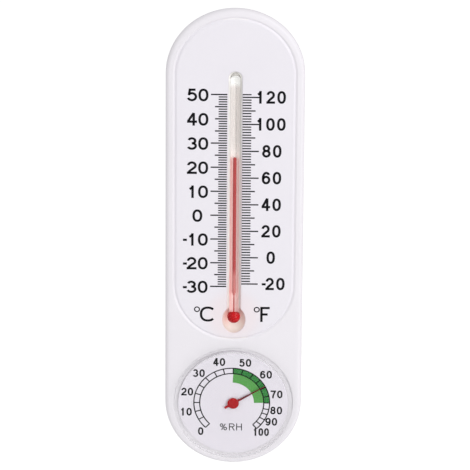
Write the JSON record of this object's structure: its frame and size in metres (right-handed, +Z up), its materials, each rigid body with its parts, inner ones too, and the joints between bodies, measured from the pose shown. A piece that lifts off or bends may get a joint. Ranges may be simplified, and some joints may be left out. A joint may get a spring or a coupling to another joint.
{
  "type": "wall thermo-hygrometer",
  "caption": "Long white wall instrument with round ends: a red spirit thermometer in a trough between printed scales, above a round dial hygrometer with a red pointer under a clear cap.",
  "frame": {"origin": "the nail point of the keyhole hanger, on the wall plane, on the instrument's upright centre line", "axes": "+Z up along the body, +Y into the wall that it hangs on, so the face looks along -Y, and +X to the right of someone reading it"},
  "size_m": [0.064, 0.0179, 0.229],
  "materials": {
    "white_plastic": "moulded white plastic with a soft satin gloss",
    "plate_plastic": "moulded white plastic, printed in black",
    "cement": "cured clear-to-cream cement",
    "steel": "zinc-plated steel",
    "glass": "drawn clear glass",
    "red_spirit": "dyed red spirit",
    "dial_enamel": "white enamel on thin sheet, printed in black and green",
    "clear_plastic": "polished clear plastic",
    "brass": "turned brass",
    "coil_strip": "thin metal strip with a moisture-taking layer",
    "red_enamel": "red enamel on thin sheet"
  },
  "bodies": {
    "body": {"front_shell": "white_plastic", "scale_plate": "plate_plastic", "rear_housing": "white_plastic", "bulb_cement": "cement", "cover_screw_1": "steel", "cover_screw_2": "steel", "cover_screw_3": "steel", "cover_screw_4": "steel", "glass_tube": "glass", "bulb_spirit": "red_spirit", "spirit_thread": "red_spirit", "hygrometer_case": "white_plastic", "dial_plate": "dial_enamel", "dial_crystal": "clear_plastic", "movement_bridge": "steel", "front_bush": "brass", "bridge_screw_1": "steel", "bridge_screw_2": "steel"},
    "spirit_level": {"spirit_meniscus": "red_spirit"},
    "calibrator": {"calibration_bush": "brass", "coil_arm": "brass", "humidity_coil": "coil_strip"},
    "needle": {"pointer": "red_enamel", "arbor": "steel", "coil_collet": "brass"}
  },
  "joints": [
    {"name": "spirit_rise", "type": "slide", "parent": "body", "child": "spirit_level", "axis": [0, 0, 1], "range_m": [-0.0648, 0.0312], "deforming": ["spirit_thread"]},
    {"name": "calibration_turn", "type": "hinge", "parent": "body", "child": "calibrator", "pos_m": [0, 0, -0.18], "axis": [0, -1, 0], "range_deg": [-20, 20]},
    {"name": "pointer_turn", "type": "hinge", "parent": "calibrator", "child": "needle", "pos_m": [0, 0, -0.18], "axis": [0, -1, 0], "range_deg": [-79.5, 195.5]}
  ]
}
